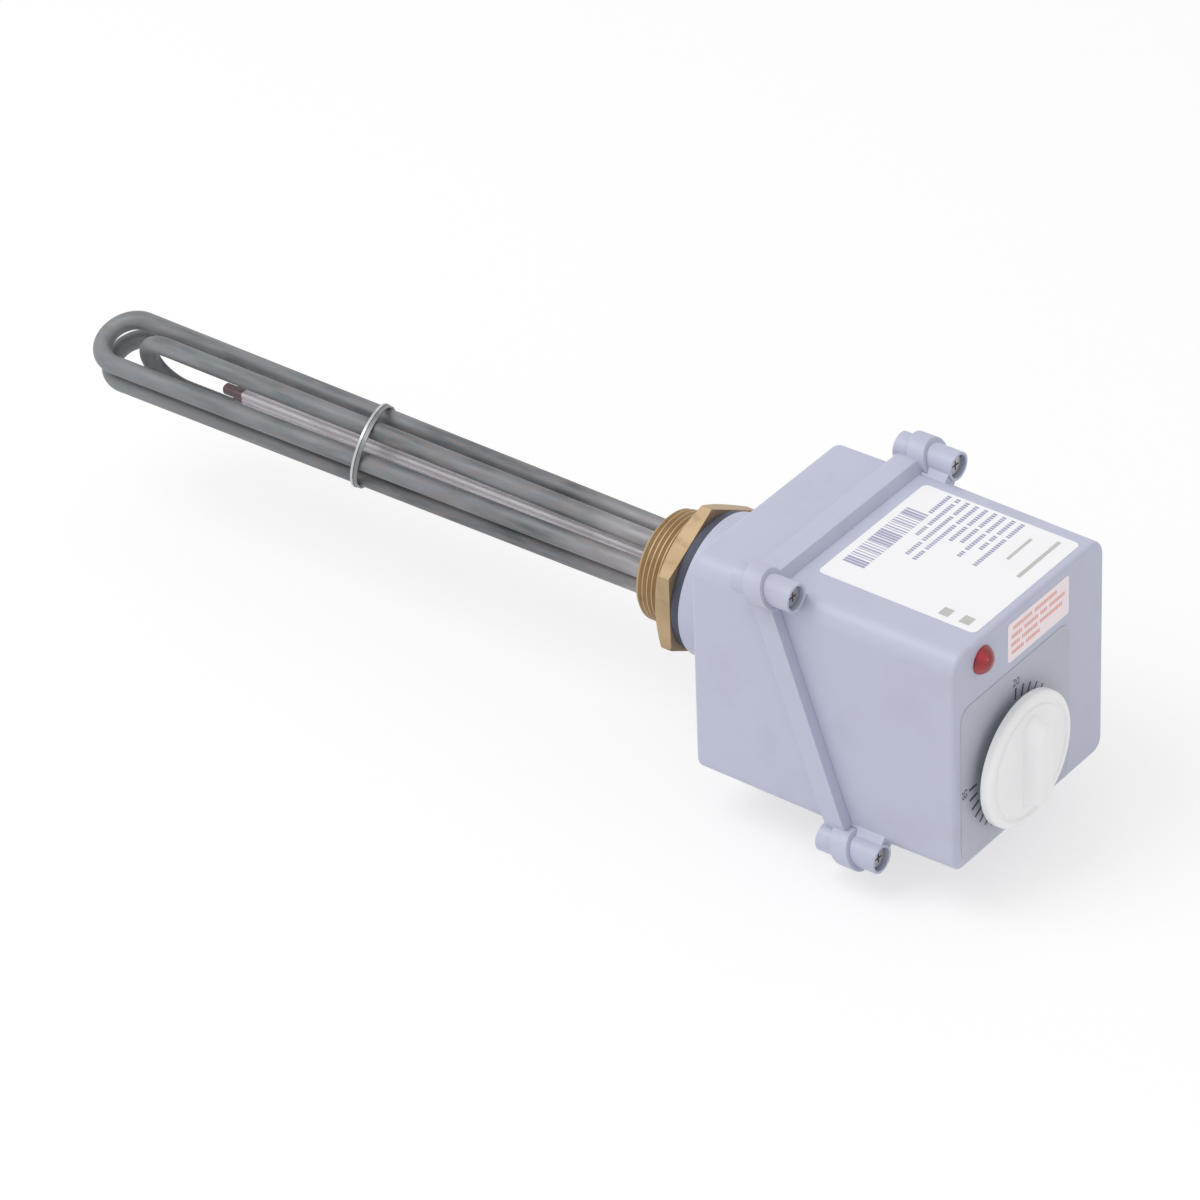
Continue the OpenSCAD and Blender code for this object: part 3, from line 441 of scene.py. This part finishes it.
copper = metal("copper", (198, 138, 104), (182, 120, 88), (140, 88, 64), rough=(0.3, 0.42))

FINISH = {
    "plug_brass": plug_brass, "element_steel": element_steel, "pocket_steel": pocket_steel,
    "band_steel": band_steel, "gasket_fibre": gasket_fibre, "fastener_steel": zinc, "pin_steel": zinc,
    "ceramic": ceramic, "housing_grey": housing_plastic, "seal_black": seal_rubber,
    "cover_screw_steel": screw_zinc, "moulding_cream": cream_moulding, "zinc_sheet": zinc,
    "capillary_copper": copper, "knob_white": knob_plastic, "dial_grey": dial_paint,
    "lens_red": red_lens, "gland_grey": gland_plastic,
}
for entry in frame["record"]["subparts"]:
    frame["nodes"][entry["node"]].material_slots[0].material = FINISH[entry["material_slot"]]


# Pieces

def mesh_from(name, bm):
    """Mesh from a bmesh, which is freed."""
    mesh = bpy.data.meshes.new(name)
    bm.to_mesh(mesh)
    bm.free()
    return mesh


def shown(name, data):
    """Object with its data, linked to the scene."""
    item = bpy.data.objects.new(name, data)
    bpy.context.scene.collection.objects.link(item)
    return item


def finish_piece(name, bm, material, body, smooth_angle=SMOOTH_ANGLE):
    """Mesh object from a bmesh, smooth up to an angle, riding on a body and taking a material."""
    mesh = mesh_from(name, bm)
    mesh.polygons.foreach_set("use_smooth", [True] * len(mesh.polygons))
    mesh.set_sharp_from_angle(angle=math.radians(smooth_angle))
    mesh.materials.append(material)
    piece = shown(name, mesh)
    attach(piece, body)
    return piece


def merged_copy(node):
    """Bmesh of a CAD node with its doubles merged and its flat faces made whole."""
    bm = bmesh.new()
    bm.from_mesh(frame["nodes"][node].data)
    bmesh.ops.remove_doubles(bm, verts=bm.verts, dist=MERGE_WITHIN * MM)
    bmesh.ops.dissolve_limit(bm, angle_limit=math.radians(FLAT_ANGLE), verts=bm.verts, edges=bm.edges)
    return bm


def break_edges(bm, width):
    """Rounds every outer edge that is sharp by a small width."""
    limit = math.radians(SHARP_ANGLE)
    sharp = [e for e in bm.edges if e.is_manifold and e.is_convex and e.calc_face_angle() > limit]
    bmesh.ops.bevel(bm, geom=sharp, offset=width * MM, offset_type="OFFSET", affect="EDGES", segments=3,
                    profile=0.5, material=-1, clamp_overlap=False)


def cut_at(bm, x, side=1, clear=False):
    """Cuts a mesh across X at a place in metres, and may clear it on the side that is turned away from."""
    bmesh.ops.bisect_plane(bm, geom=bm.verts[:] + bm.edges[:] + bm.faces[:], dist=ON_PLANE,
                           plane_co=(x, 0, 0), plane_no=(side, 0, 0), clear_inner=clear)


def slice_along(bm, step):
    """Cuts long faces into short ones along X, so that shading stays near where it changes."""
    low = min(v.co.x for v in bm.verts)
    high = max(v.co.x for v in bm.verts)
    for count in range(1, math.ceil((high - low) / (step * MM))):
        cut_at(bm, low + count * step * MM)


def weigh_normals(piece):
    """Keeps broad flat faces flat in the shading next to their rounded edges."""
    weighted = piece.modifiers.new("face_weights", "WEIGHTED_NORMAL")
    weighted.keep_sharp = True


def softened(name, node, material, width, body=HEATER, step=0.0):
    """Piece that stands for a CAD node with its edges broken and its rounds smooth."""
    bm = merged_copy(node)
    break_edges(bm, width)
    if step:
        slice_along(bm, step)
    piece = finish_piece(name, bm, material, body)
    weigh_normals(piece)
    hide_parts(node)


softened("rear_shell", "rear_housing", housing_plastic, SHELL_EDGE, step=SHELL_SLICE)
softened("cover_shell", "front_cover", housing_plastic, SHELL_EDGE, step=SHELL_SLICE)
softened("knob_cap", "adjusting_knob", knob_plastic, KNOB_EDGE, KNOB)
softened("gasket_ring", "plug_gasket", gasket_fibre, GASKET_EDGE)
softened("pocket_tube", "sensor_pocket", pocket_steel, POCKET_EDGE)


def lipped_band():
    """Spacer band as dull as the legs, with a painted highlight along its lip: a brighter steel on the
    faces that stand up there.
    """
    bm = merged_copy("spacer_band")
    lip = (BAND_OUTER_R + LIP_RISE) * MM
    for face in bm.faces:
        place = face.calc_center_median()
        # Faces out on the lip take the brighter steel, a painted highlight
        face.material_index = int(math.hypot(place.y, place.z) > lip)
    piece = finish_piece("spacer_ring", bm, band_steel, HEATER)
    piece.data.materials.append(lip_highlight_steel)
    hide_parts("spacer_band")


def thread_helix():
    """Mesh of the plug's thread as a closed helix, chamfered at the tank's end."""
    depth = THREAD_DEPTH * THREAD_PITCH
    turns = math.ceil(THREAD_LEN / THREAD_PITCH) + 2
    start = -THREAD_LEN - THREAD_PITCH
    bm = bmesh.new()
    verts = [bm.verts.new(((start + place * THREAD_PITCH) * MM, 0, (THREAD_R - share * depth) * MM))
             for place, share in THREAD_FORM]
    for first, second in zip(verts, verts[1:]):
        bm.edges.new((first, second))
    bmesh.ops.spin(bm, geom=bm.verts[:] + bm.edges[:], cent=(0, 0, 0), axis=(1, 0, 0),
                   dvec=(THREAD_PITCH * MM / THREAD_STEPS, 0, 0), angle=math.tau * turns,
                   steps=THREAD_STEPS * turns)
    bmesh.ops.remove_doubles(bm, verts=bm.verts, dist=THREAD_MERGE_WITHIN * MM)
    cut_at(bm, -THREAD_LEN * MM, 1, clear=True)
    cut_at(bm, THREAD_INTO_HEXAGON * MM, -1, clear=True)
    for vert in bm.verts:
        radius = math.hypot(vert.co.y, vert.co.z)
        limit = (THREAD_R - PLUG_CHAMFER) * MM + max(0.0, vert.co.x + THREAD_LEN * MM)
        if radius > limit:
            vert.co.y *= limit / radius
            vert.co.z *= limit / radius
    bmesh.ops.holes_fill(bm, edges=bm.edges, sides=0)
    bmesh.ops.recalc_face_normals(bm, faces=bm.faces)
    return mesh_from("thread_helix", bm)


def threaded_plug():
    """Brass plug: the hexagon of the CAD node, with a true helix in place of its plain thread."""
    bm = merged_copy("screw_plug")
    cut_at(bm, 0, clear=True)
    break_edges(bm, PLUG_EDGE)
    rim = [e for e in bm.edges if e.is_boundary]
    bmesh.ops.triangle_fill(bm, use_beauty=True, edges=rim, normal=(-1, 0, 0))
    thread = thread_helix()
    bm.from_mesh(thread)
    bpy.data.meshes.remove(thread)
    piece = finish_piece("brass_plug", bm, plug_brass, HEATER, PLUG_SMOOTH_ANGLE)
    weigh_normals(piece)
    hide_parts("screw_plug")


lipped_band()
threaded_plug()


# Printed sheets and the dial's scale

def cover_top(x):
    """Height of the cover's top over the screw axis, at a place along it."""
    share = (x - COVER_WIDE_X) / (FRONT_X - COVER_EDGE_R - COVER_WIDE_X)
    return COVER_HALF_H - COVER_DRAFT * share


def sheet_on(name, sheet, corner, placed, material):
    """Thin sheet with round corners, its face towards local +Z, put in place by a matrix."""
    bm = bmesh.new()
    size = Matrix.Diagonal((sheet[0] * MM, sheet[1] * MM, SHEET_T * MM, 1))
    bmesh.ops.create_cube(bm, size=1.0, matrix=size)
    upright = [e for e in bm.edges if abs(e.verts[0].co.z - e.verts[1].co.z) > ON_PLANE]
    bmesh.ops.bevel(bm, geom=upright, offset=corner * MM, offset_type="OFFSET", affect="EDGES", segments=6,
                    profile=0.5, material=-1)
    bmesh.ops.transform(bm, matrix=placed, verts=bm.verts)
    finish_piece(name, bm, material, HEATER)


def add_bar(bm, width, height, placed):
    """Flat bar of ink in a bmesh, put in place by a matrix."""
    size = Matrix.Diagonal((width * MM, height * MM, INK_T * MM, 1))
    bmesh.ops.create_cube(bm, size=1.0, matrix=placed @ size)


def ink_on(name, bars, sheet, placed, material):
    """Printed bars, each as low u, high u, low v and high v in millimetres from a sheet's corner."""
    bm = bmesh.new()
    rise = (SHEET_T - INK_T) / 2 + INK_LIFT
    for u0, u1, v0, v1 in bars:
        middle = Vector(((u0 + u1 - sheet[0]) / 2, (v0 + v1 - sheet[1]) / 2, rise))
        add_bar(bm, u1 - u0, v1 - v0, Matrix.Translation(middle * MM))
    bmesh.ops.transform(bm, matrix=placed, verts=bm.verts)
    finish_piece(name, bm, material, HEATER)


def print_row(words, u, v, sizes):
    """Row of plain blocks in place of a line of print: words of so many blocks each, from u towards +u."""
    width, pitch, space, height = sizes
    blocks = []
    for word in words:
        for _ in range(word):
            blocks.append((u, u + width, v - height / 2, v + height / 2))
            u += pitch
        u += space
    return blocks


def top_label():
    """White label on the cover's top, with plain blocks, stripes, bars and squares for its print."""
    sheet = (LABEL_Y[1] - LABEL_Y[0], LABEL_X[1] - LABEL_X[0])
    middle = Vector((sum(LABEL_X) / 2, sum(LABEL_Y) / 2, 0))
    middle.z = cover_top(middle.x) + SHEET_T / 2 + SHEET_GAP
    slope = math.atan2(cover_top(LABEL_X[1]) - cover_top(LABEL_X[0]), sheet[1])
    turn = Matrix.Rotation(-slope, 4, "Y") @ Matrix.Rotation(-math.pi / 2, 4, "Z")
    placed = Matrix.Translation(middle * MM) @ turn
    sheet_on("top_label", sheet, LABEL_CORNER, placed, label_paper)
    blocks = []
    for count, words in enumerate(LABEL_ROWS):
        u, v = LABEL_ROW_START
        blocks += print_row(words, u, v + LABEL_ROW_PITCH * count, LABEL_BLOCK)
    for count, width in enumerate(STRIPES + STRIPES):
        u = STRIPE_START + STRIPE_PITCH * count
        blocks.append((u, u + width, *STRIPE_ENDS))
    ink_on("top_label_print", blocks, sheet, placed, label_ink)
    ink_on("top_label_fields", LABEL_FIELDS, sheet, placed, pale_ink)


def front_sticker():
    """Small pale sticker on the cover's front, with plain red blocks for its print."""
    sheet = (STICKER_Y[1] - STICKER_Y[0], STICKER_Z[1] - STICKER_Z[0])
    middle = Vector((FRONT_X + SHEET_T / 2 + SHEET_GAP, sum(STICKER_Y) / 2, sum(STICKER_Z) / 2))
    placed = Matrix.Translation(middle * MM) @ FACING_FRONT
    sheet_on("front_sticker", sheet, STICKER_CORNER, placed, sticker_paper)
    blocks = []
    for count, (start, words) in enumerate(STICKER_ROWS):
        v = sheet[1] - STICKER_FIRST_ROW - STICKER_ROW_PITCH * count
        blocks += print_row(words, start, v, STICKER_BLOCK)
    ink_on("front_sticker_print", blocks, sheet, placed, sticker_ink)


def add_number(bm, body, placed):
    """Flat number in a bmesh, put in place by a matrix."""
    words = bpy.data.curves.new("dial_number", "FONT")
    words.body = body
    words.size = NUMBER_SIZE * MM
    words.extrude = INK_T / 2 * MM
    words.align_x = "CENTER"
    words.align_y = "CENTER"
    holder = bpy.data.objects.new("dial_number", words)
    number = bpy.data.meshes.new_from_object(holder)
    number.transform(placed)
    bm.from_mesh(number)
    bpy.data.objects.remove(holder)
    bpy.data.curves.remove(words)
    bpy.data.meshes.remove(number)


def dial_print():
    """Scale on the dial plate: ticks that run out from under the knob, and a plain number at each end."""
    bm = bmesh.new()
    x = FRONT_X + DIAL_T + INK_LIFT - INK_T / 2
    centre = Matrix.Translation(Vector((x, DIAL_Y, DIAL_Z)) * MM) @ FACING_FRONT
    inner, outer, width = SCALE_TICK
    for step in range(SCALE_STEPS + 1):
        turn = Matrix.Rotation(SCALE_START - SCALE_STEP * step, 4, "Z")
        reach = Matrix.Translation(((inner + outer) / 2 * MM, 0, 0))
        add_bar(bm, outer - inner, width, centre @ turn @ reach)
    for step, body in SCALE_NUMBERS:
        turn = Matrix.Rotation(SCALE_START - SCALE_STEP * step - math.pi / 2, 4, "Z")
        add_number(bm, body, centre @ turn @ Matrix.Translation((0, NUMBER_R * MM, 0)))
    bmesh.ops.remove_doubles(bm, verts=bm.verts, dist=MERGE_WITHIN * MM)
    finish_piece("dial_print", bm, dial_ink, HEATER)


top_label()
front_sticker()
dial_print()


# Floor, light and camera

def seen_rays(tree):
    """Socket that is 1 for rays by which the camera sees a surface: straight, mirrored or through glass."""
    path = add_node(tree, "ShaderNodeLightPath")
    seen = path.outputs["Is Camera Ray"]
    for name in ("Is Glossy Ray", "Is Transmission Ray"):
        seen = calculate(tree, "MAXIMUM", seen, path.outputs[name])
    return seen


def studio_floor():
    """Floor that looks white and keeps a soft shadow."""
    bm = bmesh.new()
    place = Matrix.Translation((0, 0, cad_low.z - FLOOR_GAP))
    bmesh.ops.create_grid(bm, x_segments=1, y_segments=1, size=FLOOR_REACH, matrix=place)
    mesh = mesh_from("floor", bm)
    material, tree, shader = new_material("floor_paint", specular=0.0)
    patches = use_group(tree, CLOUDS, Scale=1.5, Detail=2.0)
    paint = mix_colour(tree, patches, *(linear(tone) for tone in FLOOR_PAINT))
    seen = seen_rays(tree)
    colour = mix_colour(tree, seen, paint, linear(FLOOR_SEEN))
    tree.links.new(colour, shader.inputs["Base Color"])
    glow = mix_colour(tree, seen, linear(BLACK), linear(FLOOR_GLOW))
    tree.links.new(glow, shader.inputs["Emission Color"])
    shader.inputs["Emission Strength"].default_value = 1.0
    shader.inputs["Roughness"].default_value = 0.9
    mesh.materials.append(material)
    floor = shown("floor", mesh)


def studio_sky():
    """Even sky that looks white and lights at a plain level."""
    world = bpy.data.worlds.new("studio")
    bpy.context.scene.world = world
    world.use_nodes = True
    tree = world.node_tree
    sky = tree.nodes["Background"]
    sky.inputs["Strength"].default_value = 1.0
    colour = mix_colour(tree, seen_rays(tree), linear(SKY_LIGHT), linear(WHITE))
    tree.links.new(colour, sky.inputs["Color"])


def studio_lamps():
    """Broad key light and small fill, both turned to the origin."""
    for name, place, size, power in LAMPS:
        data = bpy.data.lights.new(name, "AREA")
        data.size = size
        data.energy = power
        lamp = shown(name, data)
        lamp.location = place
        lamp.rotation_mode = "QUATERNION"
        lamp.rotation_quaternion = (-Vector(place)).to_track_quat("-Z", "Y")


def photo_camera():
    """Camera at the photograph's viewpoint, with a long lens and a slight roll."""
    azimuth, elevation, roll = (math.radians(angle) for angle in CAMERA_TURN)
    back = Vector((math.sin(azimuth) * math.cos(elevation), -math.cos(azimuth) * math.cos(elevation),
                   math.sin(elevation)))
    level = Vector((math.cos(azimuth), math.sin(azimuth), 0))
    rise = back.cross(level)
    right = math.cos(roll) * level + math.sin(roll) * rise
    up = math.cos(roll) * rise - math.sin(roll) * level
    data = bpy.data.cameras.new("photo_camera")
    data.lens = CAMERA_LENS
    data.sensor_width = CAMERA_SENSOR
    data.clip_end = CAMERA_FAR
    camera = shown("photo_camera", data)
    turn = Matrix((right, up, back)).transposed().to_4x4()
    camera.matrix_world = Matrix.Translation(CAMERA_PLACE) @ turn
    bpy.context.scene.camera = camera


studio_floor()
studio_sky()
studio_lamps()
photo_camera()
bpy.context.scene.view_settings.view_transform = "Standard"
